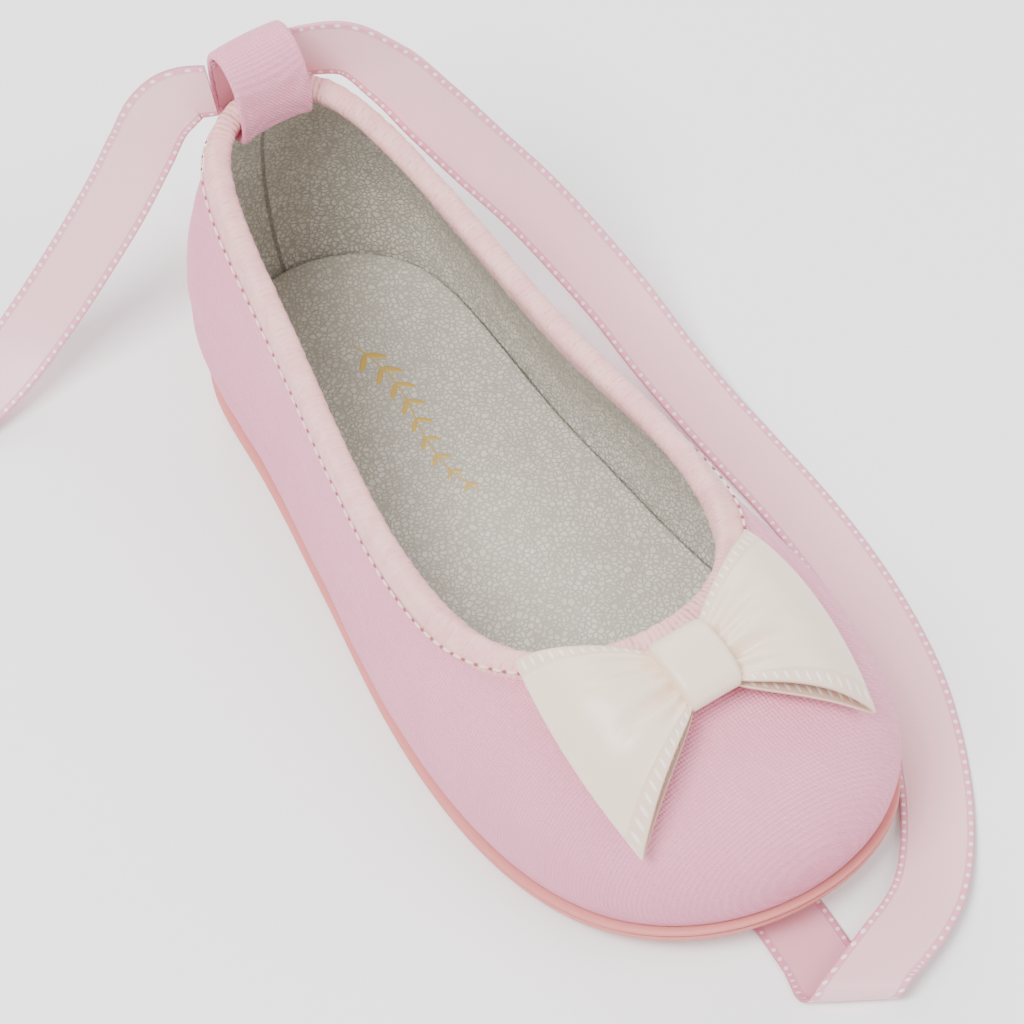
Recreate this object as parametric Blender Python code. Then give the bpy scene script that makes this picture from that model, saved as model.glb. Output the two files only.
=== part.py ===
# Baby ballet slipper for the right foot: thin sole, soft upper, rolled collar binding,
# heel loop with an ankle ribbon through it, and a ribbon bow on the vamp.
# Metres, +Z up. The toe points along -Y and the big toe lies on the +X side.

import math

import bmesh
import bpy
import numpy as np

# Driving sizes of the last and the shoe, in metres
FOOT_LENGTH = 0.1277  # heel to toe along the feather line, where upper meets sole
BALL_WIDTH = 0.0502  # feather line across the ball
COLLAR_WIDTH = 0.0408  # topline across the widest place of the collar
HEEL_HEIGHT = 0.0440  # floor to topline at the heel
SIDE_HEIGHT = 0.0266  # floor to topline at the waist
TOE_SPRING = 0.0049  # rise of the sole below the toe tip
ARCH_RISE = 0.0008  # rise of the sole between heel and forefoot

# Walls, gaps and soles
UPPER_WALL = 0.0013
SOLE_THICKNESS = 0.0024
SOLE_MARGIN = 0.0010  # how far the sole stands out from the feather line
INSOLE_THICKNESS = 0.0021
GAP = 0.0003  # between pieces that meet

# Collar binding, a folded strip over the topline
BINDING_STRIP = 0.0007
BINDING_DEPTH = 0.0030  # how far it reaches down the wall
BINDING_CROWN = 0.0009  # how far it rounds over the topline

# Heel loop
LOOP_WIDTH = 0.0107
LOOP_STRAP = 0.0010
LOOP_RISE = 0.0094  # centre of the strap's roof above the topline
LOOP_REACH = 0.0038
LOOP_TAIL = 0.0075  # how far it runs down the outside of the heel

# Ribbon and bow
RIBBON_WIDTH = 0.0095
RIBBON_THICKNESS = 0.0004
BOW_REACH = 0.0192  # middle of the knot to the outer end of a loop
BOW_DEPTH = 0.0282  # heel side to toe side at the outer end
BOW_HEIGHT = 0.0058  # how far a loop stands open
BOW_SHEET = 0.0005
KNOT_WIDTH = 0.0079
KNOT_DEPTH = 0.0104
KNOT_HEIGHT = 0.0052
BOW_ALONG = -0.318  # middle of the knot, as a share of the foot length
BOW_ACROSS = 0.03  # the same, as a share of half the ball width

# Steps of the meshes
ROUND_STEPS = 56
WALL_STEPS = 12
SOLE_RINGS = 4
RIBBON_STEP = 0.0036

# One row for each section round the last, from the heel centre round by the little toe.
# foot across and collar across: shares of half the ball width and half the collar width
# foot along and collar along: shares of the foot length, from the middle
# rise: 0 at the side height, 1 at the heel height
# out and up: where the wall heads from the feather line, lean and drop: how it meets the
# topline. out and lean are shares of half the ball width, up and drop of the side height
LAST_COLUMNS = ("foot across", "foot along", "collar across", "collar along", "rise",
                "out", "up", "lean", "drop")
LAST = (
    (0.000, 0.506, 0.000, 0.487, 1.000, 0.200, 0.54, 0.140, 0.460),
    (-0.616, 0.443, -0.505, 0.448, 0.846, 0.197, 0.49, 0.226, 0.457),
    (-0.764, 0.294, -0.737, 0.288, 0.420, 0.144, 0.38, 0.078, 0.353),
    (-0.924, 0.085, -0.934, 0.097, 0.100, 0.160, 0.35, 0.041, 0.310),
    (-1.068, -0.165, -1.000, -0.075, 0.000, 0.185, 0.46, 0.123, 0.233),
    (-0.793, -0.399, -0.682, -0.202, 0.047, 0.205, 0.58, 0.370, 0.039),
    (0.094, -0.494, 0.076, -0.249, 0.095, 0.205, 0.66, 0.657, -0.039),
    (0.920, -0.406, 0.737, -0.205, 0.041, 0.205, 0.58, 0.370, 0.039),
    (0.932, -0.165, 1.000, -0.076, 0.000, 0.185, 0.46, 0.123, 0.233),
    (0.793, 0.085, 0.884, 0.097, 0.095, 0.160, 0.35, 0.041, 0.310),
    (0.780, 0.295, 0.742, 0.288, 0.415, 0.144, 0.38, 0.078, 0.353),
    (0.628, 0.442, 0.485, 0.448, 0.846, 0.197, 0.49, 0.226, 0.457),
)

# The sole's moulded edge, from the tread up: out and up are shares of its thickness
SOLE_EDGE = (
    (-0.42, 0.00),
    (-0.10, 0.10),
    (0.00, 0.30),
    (0.00, 0.50),
    (-0.16, 0.56),
    (-0.16, 0.62),
    (0.00, 0.70),
    (0.02, 0.90),
    (-0.12, 1.00),
)

# The binding's section: side from the wall's outer face to its inner face as shares of
# the whole width, and height, 1 on the crown, 0 at the topline, -1 at the lower edge
BINDING_SECTION = (
    (0.08, -1.00),
    (0.00, -0.80),
    (0.00, -0.30),
    (0.03, 0.20),
    (0.18, 0.74),
    (0.42, 0.98),
    (0.58, 0.98),
    (0.82, 0.74),
    (0.97, 0.20),
    (1.00, -0.20),
    (1.00, -0.54),
    (0.92, -0.70),
)

# The free part of the heel loop, seen from the side: back is a share of the loop's
# reach, away from the toe, and up a share of its rise above the topline
LOOP = (
    (-0.80, -0.35),
    (-0.95, -0.17),
    (-1.04, 0.06),
    (-1.02, 0.32),
    (-0.94, 0.62),
    (-0.62, 0.87),
    (-0.08, 1.00),
    (0.50, 0.95),
    (0.92, 0.74),
    (1.08, 0.42),
    (1.10, 0.10),
    (1.05, -0.22),
)

# Half a turn of a bow loop, from under the knot out to the fold and back over it:
# reach is a share of the bow's reach beyond the knot, up of its height
BOW_LOOP = (
    (0.00, 0.06),
    (0.30, 0.00),
    (0.66, 0.00),
    (0.92, 0.06),
    (1.00, 0.30),
    (0.94, 0.58),
    (0.68, 0.86),
    (0.34, 0.80),
    (0.00, 0.42),
)

# The ankle ribbon's two free ends, from the heel loop down to the floor, by hand.
# across, along, up: the middle of the ribbon, in millimetres from the origin
# tilt: degrees that the ribbon turns about its own run, 0 flat with its face up
RIBBON_RIGHT = (
    (6.5, 62.5, 46.2, 89),
    (9.6, 61.2, 46.3, 88),
    (13.2, 58.7, 46.3, 83),
    (16.9, 54.2, 43.2, 66),
    (20.4, 49.2, 37.4, 53),
    (24.5, 44.4, 30.0, 46),
    (29.0, 39.8, 22.0, 38),
    (32.5, 34.0, 14.6, 25),
    (35.0, 26.8, 8.6, 12),
    (36.2, 18.3, 4.3, 4),
    (37.2, 8.8, 1.7, 0),
    (38.0, -0.5, 0.5, 0),
    (38.4, -10.0, 0.3, 0),
    (38.2, -19.5, 0.3, 0),
    (37.3, -29.0, 0.3, 0),
    (35.8, -37.3, 0.3, 0),
    (34.0, -44.0, 0.3, 0),
    (31.4, -50.6, 0.3, 0),
    (28.4, -56.6, 0.4, 0),
    (25.0, -62.1, 0.7, 0),
    (21.3, -66.9, 1.2, 0),
    (17.3, -70.8, 1.9, 0),
    (13.0, -73.4, 2.6, 0),
    (8.6, -75.2, 3.1, 0),
)
RIBBON_TUCKED = (
    (0.6, -69.6, 0.3, 180),
    (1.0, -62.5, 0.3, 180),
    (1.0, -55.0, 0.3, 180),
    (1.0, -47.5, 0.3, 180),
)
RIBBON_LEFT = (
    (-5.4, 62.9, 46.2, -88),
    (-8.4, 64.7, 45.8, -84),
    (-11.6, 66.5, 42.5, -75),
    (-15.2, 67.6, 36.0, -62),
    (-19.4, 68.5, 28.5, -48),
    (-24.2, 69.2, 21.6, -40),
    (-29.5, 69.5, 15.3, -32),
    (-35.5, 69.2, 9.8, -24),
    (-42.5, 68.2, 5.2, -14),
    (-50.5, 67.4, 2.0, -5),
    (-58.9, 67.9, 0.6, 0),
    (-67.6, 70.6, 0.3, 0),
    (-75.4, 75.6, 0.3, 0),
    (-81.6, 82.6, 0.3, 0),
    (-85.4, 91.2, 0.3, 0),
    (-86.4, 100.6, 0.3, 0),
    (-84.6, 109.8, 0.3, 0),
    (-80.0, 118.0, 0.3, 0),
    (-73.2, 124.4, 0.3, 0),
    (-64.8, 128.6, 0.3, 0),
)
# The roll by which the right end turns under itself in front of the toe.
FOLD_MIDDLE = (2.8, -77.4, 3.3)
FOLD_AXIS = (-0.853, 0.522)
FOLD_RUN = (-0.914, -0.405)
FOLD_RADIUS = 1.5


def clear_scene():
    for thing in list(bpy.data.objects):
        bpy.data.objects.remove(thing, do_unlink=True)


def finish_for(name, colour, roughness, sheen=0.0):
    material = bpy.data.materials.new(name)
    material.use_nodes = True
    shader = material.node_tree.nodes["Principled BSDF"]
    shader.inputs["Base Color"].default_value = (*colour, 1.0)
    shader.inputs["Roughness"].default_value = roughness
    shader.inputs["Sheen Weight"].default_value = sheen
    return material


def solid(name, points, faces, material):
    """Makes one closed body from points and faces, with its faces turned outwards."""
    mesh = bpy.data.meshes.new(name)
    mesh.from_pydata([tuple(p) for p in points], [], faces)
    body = bmesh.new()
    body.from_mesh(mesh)
    bmesh.ops.recalc_face_normals(body, faces=body.faces)
    if body.calc_volume(signed=True) < 0:
        bmesh.ops.reverse_faces(body, faces=body.faces)
    body.to_mesh(mesh)
    body.free()
    mesh.shade_smooth()
    mesh.set_sharp_from_angle(angle=math.radians(40))
    mesh.materials.append(material)
    thing = bpy.data.objects.new(name, mesh)
    bpy.context.scene.collection.objects.link(thing)
    return thing


def unit(vectors):
    return vectors / np.linalg.norm(vectors, axis=-1, keepdims=True)


def round_curve(rows, turns):
    """A smooth closed curve through evenly spaced rows, read at shares of a turn."""
    rows = np.asarray(rows, float)
    count = len(rows)
    band = 4.0 * np.eye(count) + np.roll(np.eye(count), 1, 0) + np.roll(np.eye(count), -1, 0)
    slopes = np.linalg.solve(band, 3.0 * (np.roll(rows, -1, 0) - np.roll(rows, 1, 0)))
    place = (np.asarray(turns, float) % 1.0) * count
    first = np.floor(place).astype(int) % count
    second = (first + 1) % count
    t = (place - np.floor(place))[:, None]
    return (
        rows[first] * (2 * t**3 - 3 * t**2 + 1)
        + slopes[first] * (t**3 - 2 * t**2 + t)
        + rows[second] * (3 * t**2 - 2 * t**3)
        + slopes[second] * (t**3 - t**2)
    )


def open_curve(rows, count):
    """A smooth open curve through the rows, with count points evenly spaced along it."""
    rows = np.asarray(rows, float)
    padded = np.vstack([2 * rows[0] - rows[1], rows, 2 * rows[-1] - rows[-2]])
    fine = []
    for before, start, end, after in zip(padded, padded[1:], padded[2:], padded[3:]):
        t = np.linspace(0.0, 1.0, 12, endpoint=False)[:, None]
        fine.append(0.5 * (
            2 * start
            + (end - before) * t
            + (2 * before - 5 * start + 4 * end - after) * t**2
            + (3 * start - before - 3 * end + after) * t**3
        ))
    fine = np.vstack([*fine, rows[-1:]])
    run = np.concatenate([[0.0], np.cumsum(np.linalg.norm(np.diff(fine, axis=0), axis=1))])
    even = np.linspace(0.0, run[-1], count)
    return np.column_stack([np.interp(even, run, fine[:, k]) for k in range(rows.shape[1])])


def sole_rise(along):
    """How far the sole stands above the floor: nothing under heel and forefoot."""
    spring_start = -0.20 * FOOT_LENGTH
    spring_run = 0.306 * FOOT_LENGTH
    spring = TOE_SPRING * np.clip((spring_start - along) / spring_run, 0, None) ** 2
    arch_start = -0.06 * FOOT_LENGTH
    arch_run = 0.24 * FOOT_LENGTH
    share = np.clip((along - arch_start) / arch_run, 0, 1)
    arch = ARCH_RISE * 0.5 * (1 - np.cos(2 * math.pi * share))
    return spring + arch


def last_rows(turns):
    """Feather line, topline, the two handles of the wall and the outward direction."""
    table = {name: k for k, name in enumerate(LAST_COLUMNS)}
    rows = np.array(LAST)

    def column(name):
        return rows[:, table[name]]

    half_ball = BALL_WIDTH / 2
    feather = np.column_stack([
        column("foot across") * half_ball,
        column("foot along") * FOOT_LENGTH,
    ])
    topline = np.column_stack([
        column("collar across") * COLLAR_WIDTH / 2,
        column("collar along") * FOOT_LENGTH,
        SIDE_HEIGHT + column("rise") * (HEEL_HEIGHT - SIDE_HEIGHT),
    ])
    handles = np.column_stack([
        column("out") * half_ball,
        column("up") * SIDE_HEIGHT,
        column("lean") * half_ball,
        column("drop") * SIDE_HEIGHT,
    ])
    flat = round_curve(feather, turns)
    step = 0.002
    ahead = round_curve(feather, np.asarray(turns) + step)
    behind = round_curve(feather, np.asarray(turns) - step)
    heading = unit(ahead - behind)
    outward = np.column_stack([heading[:, 1], -heading[:, 0], np.zeros(len(flat))])
    level = sole_rise(flat[:, 1]) + SOLE_THICKNESS + GAP
    return (
        np.column_stack([flat, level]),
        round_curve(topline, turns),
        round_curve(handles, turns),
        outward,
    )


def wall_surface(turns, heights):
    """The upper's outer face: a curve from feather line to topline at each section."""
    foot, collar, handles, outward = last_rows(turns)
    up = np.array([0.0, 0.0, 1.0])
    first = foot + outward * handles[:, 0:1] + up * handles[:, 1:2]
    second = collar + outward * handles[:, 2:3] - up * handles[:, 3:4]
    v = np.asarray(heights, float)[:, None, None]
    return (
        (1 - v) ** 3 * foot
        + 3 * (1 - v) ** 2 * v * first
        + 3 * (1 - v) * v**2 * second
        + v**3 * collar
    )


def wall_frames(turns, heights):
    """Points of the outer face with the direction up the wall and the way out of it."""
    turns = np.asarray(turns, float)
    heights = np.asarray(heights, float)
    step = 1e-3
    here = wall_surface(turns, heights)
    round_it = wall_surface(turns + step, heights) - wall_surface(turns - step, heights)
    up_it = wall_surface(turns, heights + step) - wall_surface(turns, heights - step)
    return here, unit(up_it), unit(np.cross(round_it, up_it))


def ring_faces(rings, around, closed_section):
    """Quads between rings of points, each ring a closed loop of around points."""
    faces = []
    for i in range(rings if closed_section else rings - 1):
        for j in range(around):
            low = i * around
            high = (i + 1) % rings * around
            k = (j + 1) % around
            faces.append((low + j, low + k, high + k, high + j))
    return faces


def strip_solid(name, front, back, material):
    """A closed sheet between two grids of points, rows along it and columns across it."""
    rows, columns = front.shape[:2]
    points = np.concatenate([front.reshape(-1, 3), back.reshape(-1, 3)])
    shift = rows * columns
    faces = []
    for i in range(rows - 1):
        for j in range(columns - 1):
            a = i * columns + j
            faces.append((a, a + 1, a + 1 + columns, a + columns))
            faces.append(tuple(shift + k for k in (a, a + columns, a + 1 + columns, a + 1)))
    edge = [j for j in range(columns)]
    edge += [i * columns + columns - 1 for i in range(1, rows)]
    edge += [(rows - 1) * columns + j for j in range(columns - 2, -1, -1)]
    edge += [i * columns for i in range(rows - 2, 0, -1)]
    for a, b in zip(edge, edge[1:] + edge[:1]):
        faces.append((a, b, shift + b, shift + a))
    return solid(name, points, faces, material)


def round_turns():
    return np.arange(ROUND_STEPS) / ROUND_STEPS


def make_upper(material):
    """The hollow upper: its outer face, and an inner face one wall thickness in."""
    turns = round_turns()
    heights = np.linspace(0.0, 1.0, WALL_STEPS + 1)
    outer, _, out = wall_frames(turns, heights)
    inner = outer - out * UPPER_WALL
    rings = np.concatenate([outer, inner[::-1]])
    faces = ring_faces(len(rings), ROUND_STEPS, True)
    return solid("upper", rings.reshape(-1, 3), faces, material)


def disc_rings(edge, count):
    """Smaller and smaller copies of an outline about the middle of the foot."""
    shares = np.linspace(1.0, 0.0, count + 1)[:-1]
    return [edge * share for share in shares]


def close_disc(faces, start, around, centre, flip):
    for j in range(around):
        k = (j + 1) % around
        faces.append((start + k, start + j, centre) if flip else (start + j, start + k, centre))


def plate_solid(name, sections, top_height, bottom_height, material):
    """A plate with an edge of the given sections, closed above and below by rings."""
    low = disc_rings(sections[0][:, :2], SOLE_RINGS)[:0:-1]
    high = disc_rings(sections[-1][:, :2], SOLE_RINGS)[1:]
    rings = [np.column_stack([ring, bottom_height(ring[:, 1])]) for ring in low]
    rings += list(sections)
    rings += [np.column_stack([ring, top_height(ring[:, 1])]) for ring in high]
    middle = np.zeros(1)
    points = np.concatenate([
        *rings,
        [[0.0, 0.0, bottom_height(middle)[0]], [0.0, 0.0, top_height(middle)[0]]],
    ])
    faces = ring_faces(len(rings), ROUND_STEPS, False)
    total = len(rings) * ROUND_STEPS
    close_disc(faces, 0, ROUND_STEPS, total, True)
    close_disc(faces, total - ROUND_STEPS, ROUND_STEPS, total + 1, False)
    return solid(name, points, faces, material)


def make_outsole(material):
    """The sole: the feather line let out by its margin, with a groove round its edge."""
    foot, _, _, outward = last_rows(round_turns())
    line = foot[:, :2] + outward[:, :2] * SOLE_MARGIN
    sections = []
    for out, up in SOLE_EDGE:
        ring = line + outward[:, :2] * out * SOLE_THICKNESS
        sections.append(np.column_stack([ring, sole_rise(ring[:, 1]) + up * SOLE_THICKNESS]))
    return plate_solid(
        "outsole",
        sections,
        lambda along: sole_rise(along) + SOLE_THICKNESS,
        sole_rise,
        material,
    )


def make_insole(material):
    """The sock board inside the feather line, with a rounded top edge."""
    foot, _, _, outward = last_rows(round_turns())
    line = foot[:, :2] - outward[:, :2] * (UPPER_WALL + GAP)
    base = SOLE_THICKNESS + GAP
    edge = ((0.10, 0.00), (0.00, 0.16), (0.00, 0.74), (0.13, 0.94), (0.42, 1.00))
    sections = []
    for inward, up in edge:
        ring = line - outward[:, :2] * inward * INSOLE_THICKNESS
        level = sole_rise(ring[:, 1]) + base + up * INSOLE_THICKNESS
        sections.append(np.column_stack([ring, level]))
    return plate_solid(
        "insole",
        sections,
        lambda along: sole_rise(along) + base + INSOLE_THICKNESS,
        lambda along: sole_rise(along) + base,
        material,
    )


def binding_points(turns):
    """The binding's section carried round the topline, with the slot for the wall."""
    point, up, out = (grid[0] for grid in wall_frames(turns, np.ones(1)))
    outside = GAP + BINDING_STRIP
    whole = UPPER_WALL + 2 * outside
    section = [
        (outside - side * whole, height * (BINDING_CROWN + GAP if height > 0 else BINDING_DEPTH))
        for side, height in BINDING_SECTION
    ]
    section += [
        (-UPPER_WALL - GAP, section[-1][1]),
        (-UPPER_WALL - GAP, GAP),
        (GAP, GAP),
        (GAP, section[0][1]),
    ]
    return [point + out * across + up * height for across, height in section]


def make_binding(material):
    rings = binding_points(round_turns())
    faces = ring_faces(len(rings), ROUND_STEPS, True)
    return solid("collar_binding", np.concatenate(rings), faces, material)


def heel_curve(across):
    """How far the topline has turned forwards at a distance across from the heel centre."""
    turns = np.linspace(-0.12, 0.12, 97)
    line = last_rows(turns)[1]
    order = np.argsort(line[:, 0])
    return line[len(line) // 2, 1] - np.interp(across, line[order, 0], line[order, 1])


def loop_path():
    """Side view of the heel loop: inside end, free loop, then down the outer wall."""
    start = last_rows(np.zeros(1))[1][0]
    offset = GAP + LOOP_STRAP / 2
    heights = np.linspace(1.0, 0.5, 51)
    point, _, out = wall_frames(np.zeros(1), heights)
    point = point[:, 0, 1:] - start[1:]
    out = out[:, 0, 1:]

    def beside_wall(drops, distance):
        line = point + out * distance
        return np.column_stack([np.interp(drops, -line[:, 1], line[:, 0]), -np.asarray(drops)])

    hem = BINDING_DEPTH + 1.4 * LOOP_STRAP
    inside = beside_wall([hem], -UPPER_WALL - offset)
    outside = beside_wall(np.linspace(hem + LOOP_STRAP, LOOP_TAIL, 3), offset)
    free = np.array(LOOP) * (LOOP_REACH, LOOP_RISE)
    return start, open_curve(np.vstack([inside, free, outside]), 34)


def make_heel_loop(material):
    """A strap bent round that path, its ends curved to the heel's own round."""
    start, path = loop_path()
    across = np.linspace(-0.5, 0.5, 7) * LOOP_WIDTH
    heading = unit(np.gradient(path, axis=0))
    normal = np.column_stack([-heading[:, 1], heading[:, 0]])
    hug = np.interp(path[:, 1], [0.0, LOOP_RISE], [1.0, 0.45])
    curve = heel_curve(across)
    faces = []
    for side in (0.5, -0.5):
        line = path + normal * side * LOOP_STRAP
        grid = np.empty((len(path), len(across), 3))
        grid[..., 0] = start[0] + across
        grid[..., 1] = start[1] + line[:, 0:1] - hug[:, None] * curve
        grid[..., 2] = start[2] + line[:, 1:2]
        faces.append(grid)
    return strip_solid("heel_loop", faces[0], faces[1], material)


def bow_bed():
    """A smooth cover over vamp and binding, just clear of both, as a function."""
    turns = np.arange(0.30, 0.70, 0.004)
    surface = wall_surface(turns, np.linspace(0.3, 1.0, 36)).reshape(-1, 3)
    crown = np.concatenate(binding_points(turns))
    obstacles = np.concatenate([surface, crown])
    middle = np.array([BOW_ACROSS * BALL_WIDTH / 2, BOW_ALONG * FOOT_LENGTH])
    near = np.abs(obstacles[:, :2] - middle) < (BOW_REACH, 0.56 * BOW_DEPTH)
    x, y, z = (obstacles[near.all(axis=1)] - (*middle, 0.0)).T

    def terms(x, y):
        x, y = x / BOW_REACH, y / BOW_DEPTH
        return np.stack([x**i * y**j for i in range(5) for j in range(5 - i)], axis=-1)

    shape = np.linalg.lstsq(terms(x, y), z, rcond=None)[0]
    shape[0] += (z - terms(x, y) @ shape).max() + GAP
    return middle, lambda x, y: terms(x, y) @ shape


def make_bow_loop(name, side, middle, bed, material):
    """One loop of the bow: out along the bed, round a soft fold and back to the knot."""
    path = open_curve(BOW_LOOP, 21)
    across = np.linspace(-1.0, 1.0, 9)
    start = KNOT_WIDTH / 2 + GAP
    heading = unit(np.gradient(path * (BOW_REACH, BOW_HEIGHT), axis=0))
    reach = path[:, 0:1]
    spread = KNOT_DEPTH * 0.40 + (BOW_DEPTH / 2 - KNOT_DEPTH * 0.40) * reach**0.8
    bulge = 1.0 - 0.10 * across**2 * reach
    length = (BOW_REACH - start) * reach * bulge
    open_up = BOW_HEIGHT * path[:, 1:2] * (1.0 - 0.30 * across**2)
    grids = []
    for face in (0.0, 1.0):
        x = start + length + face * BOW_SHEET * heading[:, 1:2] * -1.0
        y = across * spread
        z = bed(side * x, y) + open_up + BOW_SHEET * (1.0 + face * heading[:, 0:1])
        x = np.maximum(x, start)
        grids.append(np.stack([middle[0] + side * x, middle[1] + y, z], axis=-1))
    return strip_solid(name, grids[0], grids[1], material)


def make_knot(middle, bed, material):
    """The band round the bow's waist: a flat oval carried across its width."""
    stations = ((-0.50, 0.86), (-0.44, 0.97), (0.0, 1.0), (0.44, 0.97), (0.50, 0.86))
    angles = np.arange(20) / 20 * 2 * math.pi
    rings = []
    for share, scale in stations:
        x = np.full(len(angles), share * KNOT_WIDTH)
        y = np.sign(np.cos(angles)) * np.abs(np.cos(angles)) ** 0.75 * scale * KNOT_DEPTH / 2
        lift = np.sign(np.sin(angles)) * np.abs(np.sin(angles)) ** 0.8 * scale
        z = bed(x, y) + KNOT_HEIGHT / 2 * (1.0 + lift)
        rings.append(np.column_stack([middle[0] + x, middle[1] + y, z]))
    points = np.concatenate(rings)
    around = len(angles)
    faces = ring_faces(len(rings), around, False)
    faces.append(tuple(range(around)))
    faces.append(tuple(range((len(rings) - 1) * around, len(rings) * around))[::-1])
    return solid("bow_knot", points, faces, material)


def make_ribbon_stay(material):
    """The stretch of ribbon inside the loop, standing against its back strap."""
    start = last_rows(np.zeros(1))[1][0]
    across = np.linspace(-0.5, 0.5, 7) * LOOP_WIDTH * 0.97
    top = LOOP_RISE - 2.4 * LOOP_STRAP
    up = np.linspace(top - RIBBON_WIDTH, top, 5)
    hug = np.interp(up, [0.0, LOOP_RISE], [1.0, 0.45])
    curve = heel_curve(across)
    grids = []
    for side in (-0.5, 0.5):
        back = 0.70 * LOOP_REACH + side * RIBBON_THICKNESS
        grid = np.empty((len(up), len(across), 3))
        grid[..., 0] = start[0] + across
        grid[..., 1] = start[1] + back - hug[:, None] * curve
        grid[..., 2] = start[2] + up[:, None]
        grids.append(grid)
    return strip_solid("ribbon_stay", grids[0], grids[1], material)


def ribbon_curve(rows):
    """Both edges of a ribbon along a smooth curve through the rows of its table."""
    rows = np.array(rows, float) * (1e-3, 1e-3, 1e-3, math.pi / 180)
    chord = np.linalg.norm(np.diff(rows[:, :3], axis=0), axis=1)
    slope = np.diff(rows, axis=0) / chord[:, None]
    before, after = chord[:-1, None], chord[1:, None]
    inner = (slope[:-1] * after + slope[1:] * before) / (before + after)
    slopes = np.vstack([slope[:1], inner, slope[-1:]])
    parts = []
    for i, span in enumerate(chord):
        steps = max(2, round(span / RIBBON_STEP))
        t = np.linspace(0.0, 1.0, steps, endpoint=False)[:, None]
        parts.append(
            rows[i] * (2 * t**3 - 3 * t**2 + 1)
            + slopes[i] * span * (t**3 - 2 * t**2 + t)
            + rows[i + 1] * (3 * t**2 - 2 * t**3)
            + slopes[i + 1] * span * (t**3 - t**2)
        )
    curve = np.vstack([*parts, rows[-1:]])
    run = unit(np.gradient(curve[:, :3], axis=0))
    level = unit(np.cross([0.0, 0.0, 1.0], run))
    tilt = curve[:, 3:]
    side = np.cos(tilt) * level + np.sin(tilt) * np.cross(run, level)
    half = RIBBON_WIDTH / 2
    return np.stack([curve[:, :3] - side * half, curve[:, :3] + side * half], axis=1)


def ribbon_fold():
    """Both edges where the ribbon rolls under itself, ruled along the fold's axis."""
    axis = np.array([*FOLD_AXIS, 0.0])
    run = np.array([*FOLD_RUN, 0.0])
    beyond = unit(run - axis * (run @ axis))
    slant = (run @ axis) / (run @ beyond)
    half = RIBBON_WIDTH / 2 / (run @ beyond)
    rings = []
    for angle in np.linspace(0.0, math.pi, 8):
        middle = (
            np.array(FOLD_MIDDLE) / 1e3
            + axis * slant * FOLD_RADIUS / 1e3 * angle
            + beyond * FOLD_RADIUS / 1e3 * math.sin(angle)
            - np.array([0.0, 0.0, FOLD_RADIUS / 1e3 * (1 - math.cos(angle))])
        )
        rings.append([middle + axis * half, middle - axis * half])
    return np.array(rings)


def make_ribbon(name, edges, material):
    """A flat ribbon between its two edges."""
    run = np.gradient(edges.mean(axis=1), axis=0)
    face = unit(np.cross(run, edges[:, 1] - edges[:, 0]))
    offset = face[:, None, :] * RIBBON_THICKNESS / 2
    return strip_solid(name, edges + offset, edges - offset, material)


def stand_on_origin(things):
    """Moves the shoe so that the middle of its floor plan is at the origin."""
    corners = [
        [min(v.co[k] for v in thing.data.vertices), max(v.co[k] for v in thing.data.vertices)]
        for thing in things
        for k in (0, 1)
    ]
    across = [value for pair in corners[0::2] for value in pair]
    along = [value for pair in corners[1::2] for value in pair]
    for thing in things:
        thing.location.x = -(min(across) + max(across)) / 2
        thing.location.y = -(min(along) + max(along)) / 2


def main():
    clear_scene()
    leather = finish_for("pink leather", (0.85, 0.52, 0.60), 0.55)
    rubber = finish_for("salmon rubber", (0.78, 0.42, 0.40), 0.60)
    sock = finish_for("grey sock", (0.55, 0.52, 0.47), 0.85)
    trim = finish_for("cream binding", (0.90, 0.68, 0.64), 0.60)
    satin = finish_for("cream satin", (0.92, 0.80, 0.74), 0.35, 0.3)
    ribbon = finish_for("pink satin", (0.90, 0.68, 0.68), 0.35, 0.3)
    middle, bed = bow_bed()
    shoe = [
        make_outsole(rubber),
        make_insole(sock),
        make_upper(leather),
        make_binding(trim),
        make_heel_loop(leather),
        make_ribbon_stay(ribbon),
        make_bow_loop("bow_left", -1, middle, bed, satin),
        make_bow_loop("bow_right", 1, middle, bed, satin),
        make_knot(middle, bed, satin),
    ]
    stand_on_origin(shoe)
    make_ribbon("ribbon_left", ribbon_curve(RIBBON_LEFT), ribbon)
    fold = [ribbon_curve(RIBBON_RIGHT), ribbon_fold(), ribbon_curve(RIBBON_TUCKED)]
    make_ribbon("ribbon_right", np.concatenate(fold), ribbon)


main()
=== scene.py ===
import math

import bpy
import numpy as np
from mathutils import Matrix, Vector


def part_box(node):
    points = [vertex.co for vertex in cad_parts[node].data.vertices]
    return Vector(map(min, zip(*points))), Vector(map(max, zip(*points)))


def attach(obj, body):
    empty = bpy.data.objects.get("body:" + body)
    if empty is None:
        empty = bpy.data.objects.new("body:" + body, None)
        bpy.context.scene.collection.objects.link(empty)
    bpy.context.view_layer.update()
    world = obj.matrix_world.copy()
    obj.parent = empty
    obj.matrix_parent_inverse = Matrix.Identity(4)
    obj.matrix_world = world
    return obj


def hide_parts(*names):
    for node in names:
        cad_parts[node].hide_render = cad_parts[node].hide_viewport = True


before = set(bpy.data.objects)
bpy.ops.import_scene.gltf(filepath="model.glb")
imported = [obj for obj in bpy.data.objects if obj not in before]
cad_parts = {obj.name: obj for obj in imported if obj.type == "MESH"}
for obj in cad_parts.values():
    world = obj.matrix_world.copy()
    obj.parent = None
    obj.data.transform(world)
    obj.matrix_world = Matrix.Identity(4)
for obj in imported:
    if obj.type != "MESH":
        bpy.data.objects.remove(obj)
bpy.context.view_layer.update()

# Looks of a right foot's baby ballet slipper. Sizes are metres in the row frame:
# +Z up, the toe along -Y, the big toe's side at +X.


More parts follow.
